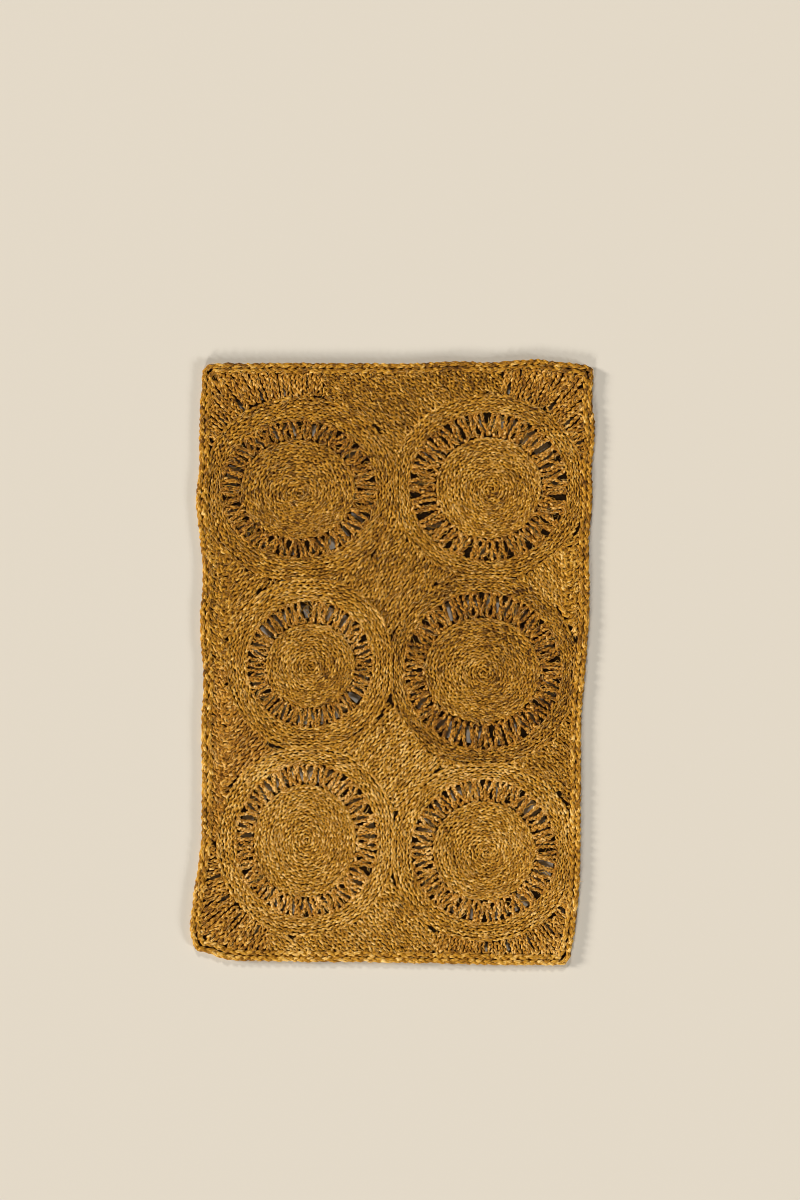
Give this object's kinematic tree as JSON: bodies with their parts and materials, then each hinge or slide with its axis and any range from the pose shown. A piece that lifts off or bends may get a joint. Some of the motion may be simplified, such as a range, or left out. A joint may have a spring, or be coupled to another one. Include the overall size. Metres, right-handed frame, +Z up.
{
  "type": "braided jute rug",
  "caption": "Flat rectangular braided jute rug of round coiled medallions with openwork rings, joined by straight plaited infill and a plaited border.",
  "frame": {"origin": "on the floor, at the middle of the rug's box", "axes": "+Y along the rug's long side, towards the end with the two largest hoops; +Z up, out of the face; +X to the right, seen from above with +Y away from the viewer"},
  "size_m": [0.6186, 0.9293, 0.008],
  "materials": {
    "jute_medallion": "coiled jute plait, matt, golden brown, with lighter worn fibres",
    "jute_panel": "straight rows of jute plait, matt, golden brown",
    "jute_corner": "zigzag jute plait spread as a fan, matt, golden brown",
    "jute_border": "jute plait sewn round the edge, matt, a little more orange"
  },
  "bodies": {
    "root": {"medallion_top_left": "jute_medallion", "medallion_top_right": "jute_medallion", "medallion_middle_left": "jute_medallion", "medallion_middle_right": "jute_medallion", "medallion_bottom_left": "jute_medallion", "medallion_bottom_right": "jute_medallion", "panel_top": "jute_panel", "panel_bottom": "jute_panel", "panel_upper_diamond": "jute_panel", "panel_lower_diamond": "jute_panel", "panel_left_upper": "jute_panel", "panel_left_lower": "jute_panel", "panel_right_upper": "jute_panel", "panel_right_lower": "jute_panel", "corner_top_left": "jute_corner", "corner_top_right": "jute_corner", "corner_bottom_left": "jute_corner", "corner_bottom_right": "jute_corner", "border": "jute_border"}
  },
  "joints": []
}
